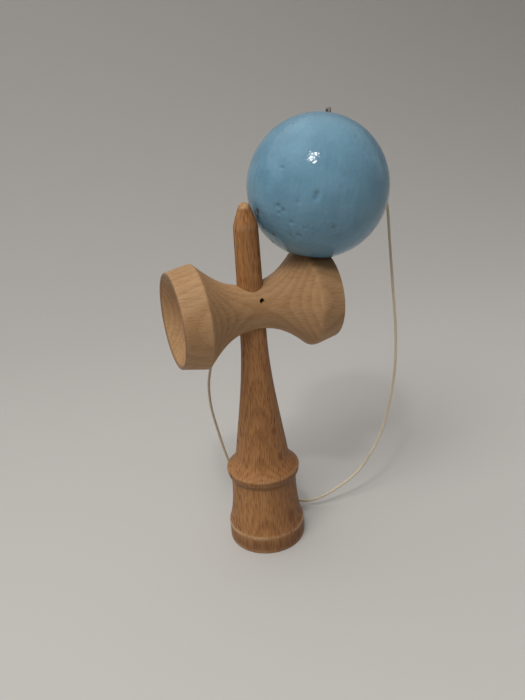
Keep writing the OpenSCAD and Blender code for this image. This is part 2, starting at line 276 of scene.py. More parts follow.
def beech(name, pale, dark, ray, turn, heart, ring_gap, ring_show, fleck, rub, red_and_shade=0.0, eyes=()):
    """Bare turned beech. Once turned, its grain runs along Z, and heart shifts the pith to Z, in mm.

    ring_gap is the width of a growth ring in mm and ring_show how much it shows, fleck how much the
    short dark rays show, rub how pale the worn edges are, red_and_shade how much the wood reddens towards +X
    with painted shade on that side, away from the lamp, and eyes are small swirls in the grain: a point on
    the surface and a width, in mm.
    """
    paint = Paint(name)
    spot = paint.place(turn, heart)
    wander = paint.noise(paint.stretch(spot, WANDER_WAVES), 1.0)
    cloud = paint.noise(paint.stretch(spot, CLOUD_WAVES))
    x, y, z = paint.split(spot)
    depth = paint.length(paint.stretch(spot, (1.0, 1.0, 0.0)))
    around = paint.node("ShaderNodeMath", {"operation": "ARCTAN2"}, {0: x, 1: y}) * PITH_AWAY
    swirl = 0.0
    for at, eye_width in eyes:
        off_eye = paint.stretch(paint.place(shift=[-c for c in at]), EYE_SQUASH)
        swirl = paint.between(paint.length(off_eye) / eye_width, 1.0, 0.15) + swirl

    # A growth ring darkens slowly and ends at once
    ring = ((depth + wander * RING_WANDER + EYE_RINGS * swirl) / ring_gap).part()
    late = paint.between(ring, 0.1, 0.85) * paint.between(ring, 0.99, 0.85)

    # Every ray is a dash in a cell of its own, with its own width, length and darkness
    sway = around + RAY_WANDER * (wander - 0.5) + EYE_RAYS * swirl
    grid = paint.join(sway / RAY_SIDE, depth / RAY_DEEP, z / RAY_RUN)
    cell = paint.node("ShaderNodeTexVoronoi", None, {"Vector": grid, "Scale": 1.0})
    off_x, off_y, off_z = paint.split(paint.node("ShaderNodeVectorMath", {"operation": "SUBTRACT"}, {
        0: grid, 1: cell.pick("Position")}))
    luck_x, luck_y, luck_z = paint.split(cell.pick("Color"))
    wide = RAY_WIDE + RAY_WIDER * luck_x
    long = RAY_LONG + RAY_LONGER * luck_y
    across = off_x * off_x / (wide * wide) + off_y * off_y / RAY_DEPTH_SQUARED
    dash = paint.between(across + off_z * off_z / (long * long), 1.0, 0.25) * (0.4 + 0.6 * luck_z)
    small = paint.join(sway * DOT_SIDE + DOT_SHIFT, depth * DOT_DEEP, z * DOT_RUN)
    dot = paint.between(paint.noise(small, 1.0), 0.57, 0.66)
    fibre = paint.noise(paint.join(sway * FIBRE_SIDE, depth * FIBRE_SIDE, z * FIBRE_RUN), 2.0, 0.6)

    shade = ring_show * (late - 0.4) + 0.08 + (fibre - 0.5) + 1.1 * (cloud - 0.47) + EYE_SHADE * swirl
    colour = paint.mix(paint.between(shade, -0.35, 0.7), pale, dark)
    colour = paint.mix(fleck * dash, colour, ray)
    colour = paint.mix(fleck * DOT_SHOW * dot, colour, ray)
    if eyes:
        colour = paint.mix(EYE_SHOW * swirl, colour, EYE_BROWN)
    # The +X side, away from the lamp, is redder heartwood and darker with painted shade
    if red_and_shade:
        frayed = x + RED_FRAY * (cloud - 0.5)
        side = paint.between(frayed, heart[0] + RED_START, heart[0] + RED_END)
        colour = paint.mix(red_and_shade * side, colour, SIDE_RED_AND_SHADE)

    # Worn edges are pale where fibres and clouds let them be, and dirt with painted shade in corners and
    # hollows lies over all
    worn, grime = paint.mark("worn"), paint.mark("grime")
    broken = (0.32 + 3.6 * (fibre - 0.5) + 2.4 * (cloud - 0.48)).most(0.0)
    colour = paint.mix(rub * worn * broken, colour, WORN_PALE)
    colour = paint.mix(DIRT_AND_SHADE_SHOW * grime, colour, DIRT_AND_SHADE_BROWN)
    gloss = 0.55 + 0.18 * (fibre - 0.5) - 0.06 * worn
    height = 0.7 * fibre - 0.5 * dash - 0.2 * dot
    return paint.finish({"Specular IOR Level": 0.35}, Base_Color=colour, Roughness=gloss,
                        Normal=paint.bump(height, 0.25, 0.3 * MM))


# Lacquer: waves per mm across and along the axis of the ball's hole, and its colours
LACQUER_CLOUD, LACQUER_SPECK = (0.09, 0.09, 0.09), (2.3, 2.3, 2.3)
LACQUER_BRUSH, LACQUER_RIPPLE = (0.75, 0.75, 0.045), (0.60, 0.60, 0.50)
BLUE_DEEP, BLUE_LIGHT, BLUE_SPECK = tone(92, 131, 153), tone(106, 147, 169), tone(78, 108, 124)
CHIP_EDGE, CHIP_WOOD = tone(58, 60, 60), tone(98, 76, 56)


def lacquer(name):
    """Thick brushed lacquer over a knocked ball, chipped to the dark wood in places."""
    paint = Paint(name)
    spot = paint.place((0, -BALL_TILT, 0))
    cloud = paint.noise(paint.stretch(spot, LACQUER_CLOUD), 3.0)
    brush = paint.noise(paint.stretch(spot, LACQUER_BRUSH), 3.0, 0.6)
    ripple = paint.noise(paint.stretch(spot, LACQUER_RIPPLE))
    speck = paint.noise(paint.stretch(spot, LACQUER_SPECK), 1.0)
    colour = paint.mix(paint.between(cloud + 0.4 * (brush - 0.5), 0.2, 0.8), BLUE_DEEP, BLUE_LIGHT)
    colour = paint.mix(0.30 * paint.between(speck, 0.68, 0.76), colour, BLUE_SPECK)
    ragged = paint.mark("bare") + 0.9 * (speck - 0.5)
    edge = paint.between(ragged, 0.35, 0.6)
    colour = paint.mix(0.85 * edge, colour, CHIP_EDGE)
    colour = paint.mix(0.8 * paint.between(ragged, 0.7, 0.95), colour, CHIP_WOOD)
    gloss = 0.055 + 0.06 * (brush - 0.5) + 0.4 * edge
    height = 0.6 * ripple + 0.12 * brush + 0.05 * speck - 0.6 * edge
    return paint.finish({"Specular IOR Level": 0.45}, Base_Color=colour, Roughness=gloss,
                        Normal=paint.bump(height, 1.0, 0.3 * MM))


# Cotton: its plies, the fibres round it and per metre, the stains per metre, and its colours
PLIES = 3
HAIR_ROUND, HAIR_RUN, STAIN_RUN = 26.0, 2600.0, 55.0
# The first stretch of the string has painted shade: wholly up to the first length, and no more past the
# second
SHADE_WHOLE_TO, SHADE_GONE_AT = 9 * MM, 14 * MM
COTTON_DEEP_AND_GROOVE_SHADE, COTTON_PALE = tone(190, 172, 144), tone(238, 226, 204)
COTTON_STAIN, COTTON_STUB_SHADE = tone(180, 162, 134), tone(78, 76, 74)


def cotton(name):
    """Pale twisted cotton, with painted shade between its plies and on its first stretch, where it leaves the
    ball.
    """
    paint = Paint(name)
    along, around = paint.mark("along"), paint.mark("around")
    hair = paint.noise(paint.join(around * HAIR_ROUND, along * HAIR_RUN, 0.0), 2.0, 0.6)
    stain = paint.noise(paint.join(along * STAIN_RUN, 0.0, 0.0))
    # Painted shade in the grooves between the plies, pale on their crowns
    lit_crown = 0.5 + 0.5 * (around * (PLIES * math.tau) + QUARTER).wave()
    colour = paint.mix(paint.between(hair + 0.5 * lit_crown, 0.3, 1.1), COTTON_DEEP_AND_GROOVE_SHADE, COTTON_PALE)
    colour = paint.mix(0.3 * paint.between(stain, 0.45, 0.75), colour, COTTON_STAIN)
    # Painted shade on the first stretch, where the string leaves the ball
    colour = paint.mix(0.85 * paint.between(along, SHADE_GONE_AT, SHADE_WHOLE_TO), colour, COTTON_STUB_SHADE)
    return paint.finish({"Specular IOR Level": 0.2, "Sheen Weight": 0.2}, Base_Color=colour,
                        Roughness=0.82 + 0.1 * (hair - 0.5), Normal=paint.bump(hair, 0.3, 0.1 * MM))


HANDLE_WOOD = beech(
    "handle_beech", pale=tone(174, 125, 77), dark=tone(136, 91, 50), ray=tone(86, 45, 22),
    turn=(0, 0, 0.3), heart=(4, PITH_AWAY, 0), ring_gap=2.0, ring_show=0.27, fleck=0.95, rub=1.6,
    red_and_shade=0.34, eyes=HANDLE_EYES)
CROSS_WOOD = beech(
    "cross_piece_beech", pale=tone(178, 142, 103), dark=tone(147, 109, 71), ray=tone(112, 76, 47),
    turn=(0, QUARTER, 0), heart=(6 - CROSS_Z, -64, 0), ring_gap=2.7, ring_show=0.22, fleck=0.42, rub=0.06)
BEAD_WOOD = beech(
    "bead_beech", pale=tone(196, 158, 114), dark=tone(160, 120, 80), ray=tone(120, 80, 50),
    turn=(0, 0, 0), heart=(-30, 30, 0), ring_gap=2.0, ring_show=0.2, fleck=0.5, rub=0.2)
BALL_LACQUER = lacquer("ball_lacquer")
COTTON = cotton("string_cotton")


# Outlines, as points of radius and height in mm

def bend(start, leave, arrive, end, count=40):
    """Points of a smooth curve from start to end, steered by the two points between."""
    points = []
    for i in range(count + 1):
        done, left = i / count, 1 - i / count
        shares = (left ** 3, 3 * left * left * done, 3 * left * done * done, done ** 3)
        corners = (start, leave, arrive, end)
        points.append(tuple(sum(s * c[k] for s, c in zip(shares, corners)) for k in (0, 1)))
    return points


def dish(mouth, depth, count=30):
    """Half outline of a dish from its lowest point to its mouth, with heights over the bottom."""
    hollow = (mouth * mouth + depth * depth) / (2 * depth)
    radii = [mouth * i / count for i in range(count + 1)]
    return [(r, hollow - math.sqrt(hollow * hollow - r ** 2)) for r in radii]


def arc(radius, low, high, count):
    """Points of a circle about the origin between two angles."""
    angles = [low + (high - low) * i / count for i in range(count + 1)]
    return [(radius * math.cos(angle), radius * math.sin(angle)) for angle in angles]


# Corners that turn by more than this angle are eased, with rounds that take at most this share of a side
CORNER, EASED_SHARE = 0.3, 0.45
# The rounds on the edges of the turned pieces, and the longest stretches in their outlines, in mm
HANDLE_EDGE, CROSS_EDGE, BALL_EDGE = 0.5, 0.4, 0.3
WOOD_STEP, BALL_STEP = 0.8, 1.6
BALL_PARTS, BEAD_PARTS = 190, 40


def ease(outline, radius):
    """The outline with its corners broken by small rounds, as a cloth breaks them on the lathe."""
    clean = [outline[0]]
    for point in outline[1:]:
        if math.dist(point, clean[-1]) > 1e-6:
            clean.append(point)
    soft = [clean[0]]
    for before, here, after in zip(clean, clean[1:], clean[2:]):
        at = Vector(here)
        back, on = Vector(before) - at, Vector(after) - at
        if math.pi - back.angle(on) < CORNER:
            soft.append(here)
            continue
        reach = min(radius, back.length * EASED_SHARE, on.length * EASED_SHARE)
        first, last = at + back.normalized() * reach, at + on.normalized() * reach
        for t in (0, 0.2, 0.4, 0.6, 0.8, 1):
            soft.append(tuple((1 - t) ** 2 * first + 2 * t * (1 - t) * at + t * t * last))
    return soft + [clean[-1]]


def fine(outline, step):
    """The outline with no stretch longer than step."""
    dense = [outline[0]]
    for a, b in zip(outline, outline[1:]):
        parts = max(1, math.ceil(math.dist(a, b) / step))
        dense += [tuple(a[k] + (b[k] - a[k]) * i / parts for k in (0, 1)) for i in range(1, parts + 1)]
    return dense


# How far along an outline its turn is felt, in mm, and the gain and the start of wear and of the dirt with
# painted shade in its corners
WEAR_REACH = 2.1
WORN_GAIN, WORN_START = 2.0, 0.12
DIRT_AND_SHADE_GAIN, DIRT_AND_SHADE_START = 1.6, 0.15


def wear(outline):
    """How far each point of an outline stands proud (worn) or lies in a corner (dirt and painted shade)."""
    lengths = [0.0]
    for a, b in zip(outline, outline[1:]):
        lengths.append(lengths[-1] + math.dist(a, b))

    def at(length):
        length = min(max(length, 0.0), lengths[-1])
        low = max(i for i, value in enumerate(lengths) if value <= length + 1e-9)
        if low == len(outline) - 1:
            return Vector(outline[-1])
        share = (length - lengths[low]) / max(lengths[low + 1] - lengths[low], 1e-9)
        return Vector(outline[low]).lerp(Vector(outline[low + 1]), share)

    worn, grime = [], []
    for length in lengths:
        come, go = at(length) - at(length - WEAR_REACH), at(length + WEAR_REACH) - at(length)
        turn = come.angle_signed(go) if come.length > 1e-6 and go.length > 1e-6 else 0.0
        worn.append(min(max(-turn * WORN_GAIN - WORN_START, 0.0), 1.0))
        grime.append(min(max(turn * DIRT_AND_SHADE_GAIN - DIRT_AND_SHADE_START, 0.0), 1.0))
    return worn, grime


def handle_outline():
    """Half outline of the handle, from the middle of the dish in its base up to its tip."""
    line = [(r, BASE_DISH - z) for r, z in dish(FOOT_R - FOOT_ROUND - FOOT_RING, BASE_DISH)]
    line += bend((FOOT_R - FOOT_ROUND, 0), (FOOT_R - FOOT_ROUND / 2, 0),
                 (FOOT_R, FOOT_ROUND / 2), (FOOT_R, FOOT_ROUND), 6)
    rise, step = WAIST_Z - FOOT_H, FOOT_EDGE_R - WAIST_R
    line += [(FOOT_EDGE_R, FOOT_H - 0.4)]
    line += bend((FOOT_EDGE_R - 0.3, FOOT_H + 0.3), (FOOT_EDGE_R - 0.65 * step, FOOT_H + 0.23 * rise),
                 (WAIST_R, WAIST_Z - 0.37 * rise), (WAIST_R, WAIST_Z))
    rise, ledge = COLLAR_Z - WAIST_Z, COLLAR_R - WAIST_R
    under = (WAIST_R + 0.3 * ledge, WAIST_Z + 0.58 * rise)
    line += bend((WAIST_R, WAIST_Z), (WAIST_R, WAIST_Z + 0.3 * rise),
                 (WAIST_R + 0.05 * ledge, WAIST_Z + 0.5 * rise), under, 16)
    line += bend(under, (COLLAR_R - 0.3 * ledge, under[1] + 0.2), (COLLAR_R - 0.15 * ledge, under[1] + 0.9),
                 (COLLAR_R - 0.2, COLLAR_Z - 1.2), 12)
    rise, step = GRIP_Z - COLLAR_Z, COLLAR_R - GRIP_R
    line += [(COLLAR_R, COLLAR_Z - 0.3)]
    line += bend((COLLAR_R - 0.1, COLLAR_Z + 0.4), (COLLAR_R - 0.4 * step, COLLAR_Z + 0.27 * rise),
                 (GRIP_R + 0.12 * step, GRIP_Z - 0.43 * rise), (GRIP_R, GRIP_Z), 24)
    rise, slope = SPIKE_Z - GRIP_Z, SPIKE_SLOPE
    line += bend((GRIP_R, GRIP_Z), (GRIP_R - 0.29 * (GRIP_R - SPIKE_R), GRIP_Z + 0.25 * rise),
                 (SPIKE_R + 0.34 * rise * slope, SPIKE_Z - 0.34 * rise), (SPIKE_R, SPIKE_Z), 60)
    line = ease(line, HANDLE_EDGE)
    side = (SHOULDER_R - TIP_R) / (TIP_LEN - 0.5)
    line += bend((SHOULDER_R + 1.8 * slope, SHOULDER_Z - 1.8), (SHOULDER_R + 0.5 * slope, SHOULDER_Z - 0.5),
                 (SHOULDER_R - 0.5 * side, SHOULDER_Z + 0.5), (SHOULDER_R - 1.8 * side, SHOULDER_Z + 1.8), 14)
    line += bend((TIP_R + 1.0 * side, HANDLE_H - 1.5), (TIP_R + 0.1 * side, HANDLE_H - 0.6),
                 (TIP_R - 0.2, HANDLE_H), (TIP_R - 0.9, HANDLE_H), 10)
    return fine(line + [(0.0, HANDLE_H)], WOOD_STEP)


# How pale the edges are rubbed, and how far up and down an edge counts as near, in mm
BASE_RUB, FOOT_RUB, COLLAR_RUB, SPIKE_RUB, NEAR_EDGE = 0.6, 1.3, 0.15, 0.35, 4.0
# How dark the painted shade is, how far it fades up the foot, and where it lies under the collar, in mm
FOOT_SHADE, COLLAR_SHADE, LIP_SHADE = 0.85, 0.9, 1.2
SHADE_FADE, SHADE_LOW, SHADE_HIGH, LIP_DEEP = 5.0, 4.2, 0.2, 0.3


def handle_rub(z):
    """How pale the edges are rubbed at height z: most on the edge of the foot, hardly on the collar."""
    if z < FOOT_H - NEAR_EDGE:
        return BASE_RUB
    if z < FOOT_H + NEAR_EDGE:
        return FOOT_RUB
    return COLLAR_RUB if z < COLLAR_Z + NEAR_EDGE else SPIKE_RUB


def handle_painted_shade(z):
    """Painted shade on the handle at height z: darker towards the bottom of the foot, and under the collar.
    """
    if z < FOOT_H:
        return FOOT_SHADE * min((FOOT_H - z) / SHADE_FADE, 1.0)
    return COLLAR_SHADE if WAIST_Z + SHADE_LOW < z < COLLAR_Z - SHADE_HIGH else 0.0


def cup_outline(length, band, ridge, rim, nose, depth, soft):
    """Half outline of one cup, from the middle of its dish back to the neck."""
    flare = length - band
    back = (ridge - 0.8 * nose, flare - nose)
    line = [(r, length - depth + z) for r, z in dish(rim - LIP, depth)]
    line += [(rim, length)]
    line += bend((ridge - soft * (ridge - rim) / band, flare + soft), (ridge, flare),
                 (ridge - 0.2 * nose, flare - 0.4 * nose), back, 16)
    line += bend(back, (NECK_R + 0.28 * (ridge - NECK_R), 0.62 * flare),
                 (NECK_R, 0.38 * flare), (NECK_R, 0.0), 44)
    return line


def cross_outline():
    """Half outline of the cross piece, with the big cup at its low end."""
    big = [(r, -z) for r, z in cup_outline(**BIG)]
    return fine(ease(big + cup_outline(**SMALL)[::-1], CROSS_EDGE), WOOD_STEP)


def cross_painted_shade(z):
    """Painted shade on the cross piece at a place along its axis: only on the lip of the big cup."""
    return LIP_SHADE if z < LIP_DEEP - BIG["length"] else 0.0


def ball_outline():
    """Closed half outline of the ball: its skin from the hole up to the string hole, then its inside."""
    mouth, top = HOLE_R + HOLE_BEVEL, TOP_HOLE_R + TOP_BEVEL
    drop = math.sqrt(BALL_R ** 2 - mouth ** 2)
    low, high = math.atan2(-drop, mouth), math.atan2(math.sqrt(BALL_R ** 2 - top ** 2), top)
    throat = HOLE_APEX - TOP_HOLE_R / math.tan(DRILL_HALF)
    line = arc(BALL_R, low, high, BALL_PARTS)
    line += [(TOP_HOLE_R, BALL_R - TOP_BEVEL - 0.1), (TOP_HOLE_R, throat)]
    line += [(HOLE_R, HOLE_END), (HOLE_R, -drop + HOLE_BEVEL)]
    return fine(ease(line + [line[0]], BALL_EDGE), BALL_STEP)[:-1]


def bead_outline():
    """Closed half outline of the bead, round its bore."""
    end = math.acos(BEAD_BORE / BEAD_R)
    return arc(BEAD_R, -end, end, BEAD_PARTS)


# Node trees that make pieces

def new_tree(name, inputs):
    """A geometry node tree with named inputs of given kinds and one piece as its output."""
    tree = bpy.data.node_groups.new(name, "GeometryNodeTree")
    for label, kind in inputs.items():
        tree.interface.new_socket(label, in_out="INPUT", socket_type="NodeSocket" + kind)
    tree.interface.new_socket("Piece", in_out="OUTPUT", socket_type="NodeSocketGeometry")
    bench = Bench(tree)
    return bench, bench.node("NodeGroupInput")


def hand_over(bench, made, finish):
    """Ends a tree: what it made, real and in its finish."""
    real = bench.node("GeometryNodeRealizeInstances", None, {"Geometry": made})
    dressed = bench.node("GeometryNodeSetMaterial", None, {"Geometry": real, "Material": finish})
    bench.node("NodeGroupOutput", None, {"Piece": dressed})
    return bench.tree


# Radius of the ring that carries an outline round the lathe's axis, in mm
LATHE_EYE = 10.0


def lathe_tree():
    """Turns an outline of radius and height round the lathe's axis, then turns and places the piece."""
    bench, given = new_tree("lathe", {
        "Outline": "Geometry", "Steps": "Int", "Turn": "Vector", "Place": "Vector", "Finish": "Material"})
    profile = bench.node("GeometryNodeMeshToCurve", None, {"Mesh": given.pick("Outline")})
    eye = bench.node("GeometryNodeCurvePrimitiveCircle", None, {
        "Resolution": given.pick("Steps"), "Radius": LATHE_EYE * MM})
    skin = bench.node("GeometryNodeCurveToMesh", None, {"Curve": eye, "Profile Curve": profile})
    whole = bench.node("GeometryNodeMergeByDistance", None, {"Geometry": skin, "Distance": 0.01 * MM})
    facing = bench.node("GeometryNodeFlipFaces", None, {"Mesh": whole})
    placed = bench.node("GeometryNodeTransform", None, {
        "Geometry": facing, "Translation": given.pick("Place"), "Rotation": given.pick("Turn")})
    smooth = bench.node("GeometryNodeSetShadeSmooth", None, {"Geometry": placed})
    return hand_over(bench, smooth, given.pick("Finish"))


# Flat sides of the drilled holes
BORE_SIDES, HOLE_SIDES, RECESS_SIDES = 96, 40, 48


def drill_tree():
    """Drills a blank: a tapered bore up through it, and a string hole with a wider recess across it."""
    bench, given = new_tree("drill", {
        "Blank": "Geometry", "Bore low": "Float", "Bore high": "Float", "Bore length": "Float",
        "Bore start": "Vector", "Hole radius": "Float", "Hole length": "Float", "Recess radius": "Float",
        "Recess length": "Float", "Hole place": "Vector", "Finish": "Material"})
    taper = bench.node("GeometryNodeMeshCone", None, {
        "Vertices": BORE_SIDES, "Radius Bottom": given.pick("Bore low"),
        "Radius Top": given.pick("Bore high"), "Depth": given.pick("Bore length")})
    tools = [bench.node("GeometryNodeTransform", None, {
        "Geometry": taper, "Translation": given.pick("Bore start")})]
    for label, sides in (("Hole", HOLE_SIDES), ("Recess", RECESS_SIDES)):
        radius, length = given.pick(label + " radius"), given.pick(label + " length")
        rod = bench.node("GeometryNodeMeshCylinder", None, {
            "Vertices": sides, "Radius": radius, "Depth": length})
        tools.append(bench.node("GeometryNodeTransform", None, {
            "Geometry": rod, "Translation": given.pick("Hole place"), "Rotation": (QUARTER, 0, 0)}))
    cut = given.pick("Blank")
    for tool in tools:
        cut = bench.node("GeometryNodeMeshBoolean", {"operation": "DIFFERENCE", "solver": "EXACT"},
                         {0: cut, 1: tool})
    return hand_over(bench, cut, given.pick("Finish"))


# Points round the string, and how far its plies rise, as a share of its radius
STRING_SIDES = 18
PLY_RISE = 0.135


def string_tree():
    """Lays twisted plies along a line, and marks how far along it and round it each point lies."""
    bench, given = new_tree("twisted_string", {
        "Line": "Geometry", "Thickness": "Float", "Lay": "Float", "Step": "Float", "Finish": "Material"})
    keep = {"data_type": "FLOAT", "domain": "POINT"}
    line = bench.node("GeometryNodeMeshToCurve", None, {"Mesh": given.pick("Line")})
    line = bench.node("GeometryNodeResampleCurve", {"mode": "LENGTH"}, {
        "Curve": line, "Length": given.pick("Step")})
    run = bench.node("GeometryNodeSplineParameter", out="Length")
    line = bench.node("GeometryNodeSetCurveTilt", None, {
        "Curve": line, "Tilt": run * math.tau / given.pick("Lay")})
    line = bench.node("GeometryNodeStoreNamedAttribute", keep, {
        "Geometry": line, "Name": "along", "Value": run})
    turn = bench.node("GeometryNodeInputIndex") / float(STRING_SIDES)
    spoke = turn * math.tau
    rise = 1 - PLY_RISE + PLY_RISE * (turn * (PLIES * math.tau) + QUARTER).wave()
    swell = rise * given.pick("Thickness") / 2.0
    ring = bench.node("GeometryNodeCurvePrimitiveCircle", None, {"Resolution": STRING_SIDES, "Radius": 1.0})
    spot = bench.node("ShaderNodeCombineXYZ", None, {
        0: swell * (spoke + QUARTER).wave(), 1: swell * spoke.wave()})
    ring = bench.node("GeometryNodeSetPosition", None, {"Geometry": ring, "Position": spot})
    ring = bench.node("GeometryNodeStoreNamedAttribute", keep, {
        "Geometry": ring, "Name": "around", "Value": turn})
    skin = bench.node("GeometryNodeCurveToMesh", None, {
        "Curve": line, "Profile Curve": ring, "Fill Caps": True})
    smooth = bench.node("GeometryNodeSetShadeSmooth", None, {"Geometry": skin})
    return hand_over(bench, smooth, given.pick("Finish"))


LATHE, DRILL, TWIST = lathe_tree(), drill_tree(), string_tree()


def line_object(name, points, closed=False, **marks):
    """An object that is a bare line of points, in mm, with a number per point under each mark."""
    mesh = bpy.data.meshes.new(name)
    count = len(points)
    edges = [(i, i + 1) for i in range(count - 1)] + ([(count - 1, 0)] if closed else [])
    mesh.from_pydata([Vector(p) * MM for p in points], edges, [])
    for mark, values in marks.items():
        mesh.attributes.new(mark, "FLOAT", "POINT").data.foreach_set("value", values)
    made = bpy.data.objects.new(name + "_line", mesh)
    scene.collection.objects.link(made)
    return made


def add_tree(maker, tree, inputs):
    """Puts a maker object through a node tree, with its named inputs set by their identifiers."""
    modifier = maker.modifiers.new(tree.name, "NODES")
    modifier.node_group = tree
    for item in tree.interface.items_tree:
        if item.in_out == "INPUT" and item.name in inputs:
            modifier[item.identifier] = inputs[item.name]


def plain_mesh(maker, name):
    """The piece that a maker object's trees make, as an object with a plain mesh."""
    bpy.context.view_layer.update()
    seen = maker.evaluated_get(bpy.context.evaluated_depsgraph_get())
    mesh = bpy.data.meshes.new_from_object(seen)
    mesh.name = name
    old = maker.data
    bpy.data.objects.remove(maker)
    bpy.data.meshes.remove(old)
    piece = bpy.data.objects.new(name, mesh)
    scene.collection.objects.link(piece)
    return piece


# Turned pieces

# Edges that turn by more than this angle stay sharp in the shading
SHARP = math.radians(38)


def turned(name, outline, finish, steps, turn=(0, 0, 0), place=(0, 0, 0), closed=False,
           holes=None, rub=None, painted_shade=None):
    """A piece turned from an outline of radius and height, in mm, with this many steps round it."""
    worn, grime = wear(outline)
    if rub:
        worn = [value * rub(z) for value, (r, z) in zip(worn, outline)]
    # Painted shade set by height joins the dirt and painted shade in the piece's corners
    if painted_shade:
        grime = [max(value, painted_shade(z)) for value, (r, z) in zip(grime, outline)]
    points = [(r - LATHE_EYE, -z, 0.0) for r, z in outline]
    maker = line_object(name, points, closed, worn=worn, grime=grime)
    add_tree(maker, LATHE, {"Steps": steps, "Turn": turn, "Place": Vector(place) * MM, "Finish": finish})
    if holes:
        add_tree(maker, DRILL, holes)
    piece = plain_mesh(maker, name)
    piece.data.set_sharp_from_angle(angle=SHARP)
    return piece


def bore_r(z):
    """Radius of the bore round the spike at height z."""
    return SHOULDER_R + SPIKE_SLOPE * (SHOULDER_Z - z) + BORE_FIT


def on_ball(height):
    """A place on the axis of the ball's hole, in mm from its centre."""
    return BALL_AT + BALL_UP * height


CROSS_HOLES = {
    "Bore low": bore_r(CROSS_Z - BORE_REACH) * MM,
    "Bore high": bore_r(CROSS_Z + BORE_REACH) * MM,
    "Bore length": 2 * BORE_REACH * MM,
    "Bore start": Vector((0, 0, CROSS_Z - BORE_REACH)) * MM,
    "Hole radius": CORD_HOLE_R * MM,
    "Hole length": CORD_HOLE_LEN * MM,
    "Recess radius": (KNOT_R + KNOT_ROOM) * MM,
    "Recess length": 2 * (KNOT_Y + KNOT_H + KNOT_GAP) * MM,
    "Hole place": CORD_HOLE * MM,
    "Finish": CROSS_WOOD,
}
# Steps round each piece
WOOD_STEPS, BALL_STEPS, BEAD_STEPS = 168, 300, 40

handle = turned("turned_handle", handle_outline(), HANDLE_WOOD, WOOD_STEPS, rub=handle_rub, painted_shade=handle_painted_shade)
cross_piece = turned("turned_cross_piece", cross_outline(), CROSS_WOOD, WOOD_STEPS, (0, QUARTER, 0),
                     (0, 0, CROSS_Z), holes=CROSS_HOLES, painted_shade=cross_painted_shade)
ball = turned("lacquered_ball", ball_outline(), BALL_LACQUER, BALL_STEPS, (0, BALL_TILT, 0), BALL_AT,
              closed=True)
bead = turned("wooden_bead", bead_outline(), BEAD_WOOD, BEAD_STEPS, (0, BALL_TILT, 0), on_ball(BEAD_Z),
              closed=True)


# Knocks and wear

# Dents in the ball: where, in mm from its centre, how wide and how deep
DENTS = [
    ((-13.5, -27.4, 0.5), 1.2, 0.34), ((-13.2, -27.4, 1.7), 1.3, 0.46), ((-12.9, -27.4, 2.9), 1.1, 0.42),
    ((-25.0, -16.4, -2.2), 1.3, 0.42), ((-23.6, -18.1, -3.8), 1.1, 0.34), ((-24.6, -16.4, -5.0), 0.9, 0.26),
    ((-19.2, -23.0, -0.4), 1.0, 0.26), ((-6.0, -27.2, -11.3), 1.4, 0.60), ((-5.2, -26.8, -13.0), 0.9, 0.36),
    ((-18.0, -19.2, -14.3), 1.3, 0.40), ((-21.1, -19.5, -8.6), 1.0, 0.28), ((-20.6, -16.4, -14.8), 0.9, 0.26),
    ((-22.3, -16.0, 12.1), 0.7, 0.42), ((-16.5, -22.5, -11.0), 0.8, 0.22), ((12.0, 24.0, -13.0), 1.3, 0.34),
    ((20.0, 20.0, 9.0), 1.2, 0.32), ((-8.0, 26.0, 12.0), 1.2, 0.34), ((25.0, -14.0, -7.0), 1.1, 0.28),
    ((3.0, 29.0, -3.0), 1.0, 0.28), ((-16.0, 22.0, -12.0), 1.2, 0.32), ((8.0, -20.0, 21.0), 0.8, 0.18),
]
DENT_WIDER, DENT_DEEPER, DENT_REACH, DENT_FALL = 1.35, 1.6, 1.6, 3.2
# Places where the lacquer is chipped off: where, in mm from the ball's centre, and how wide
CHIPS = [
    ((-29.4, -4.6, -5.6), 1.5), ((-29.0, -3.4, -8.2), 1.3), ((-27.0, -4.0, -12.8), 1.2),
    ((-24.8, -8.8, -15.0), 1.0), ((-22.6, -2.0, -19.6), 1.5), ((22.2, -15.8, -12.6), 0.9),
    ((-12.2, -5.2, 26.9), 0.5), ((10.0, 22.0, -18.0), 1.1),
]
CHIP_REACH, CHIP_FULL, CHIP_FALL = 2.0, 1.1, 0.8
# How deep the skin of the ball is taken to be, in mm, when it is told from the walls of its holes
SKIN = 0.4
# How far the slow and the quick waves in it sink, in mm, and their waves per mm
SLOW_SINK, SLOW_WAVES, QUICK_SINK, QUICK_WAVES = 0.05, 0.16, 0.02, 0.5


def knock_ball(piece):
    """Sinks slow waves and dents into the ball's skin, and marks where its lacquer is off."""
    dents, chips, bare = [], [], []
    for at, wide, deep in DENTS:
        dents.append((Vector(at).normalized() * BALL_R, DENT_WIDER * wide, DENT_DEEPER * deep))
    for at, wide in CHIPS:
        chips.append((Vector(at).normalized() * BALL_R, wide))
    for vertex in piece.data.vertices:
        spot = vertex.co / MM - BALL_AT
        showing = 0.0
        if spot.length > BALL_R - SKIN:
            out = spot.normalized()
            sink = SLOW_SINK + SLOW_SINK * noise.noise(spot * SLOW_WAVES)
            sink += QUICK_SINK * noise.noise(spot * QUICK_WAVES)
            for at, wide, deep in dents:
                share = (spot - at).length / wide
                if share < DENT_REACH:
                    sink += deep * math.exp(-DENT_FALL * share * share)
            for at, wide in chips:
                share = (spot - at).length / wide
                if share < CHIP_REACH:
                    showing = max(showing, CHIP_FULL - CHIP_FALL * share)
            vertex.co -= out * max(sink, 0.0) * MM
        bare.append(max(showing, 0.0))
    piece.data.attributes.new("bare", "FLOAT", "POINT").data.foreach_set("value", bare)


# The bruised end of the spike, in mm, and the side and the height of the edge that has broken away
BRUISED, BRUISE_FADE = 6.5, 3.0
BROKEN_SIDE, BROKEN_H, BROKEN_FADE = 2.3, 2.2, 2.0
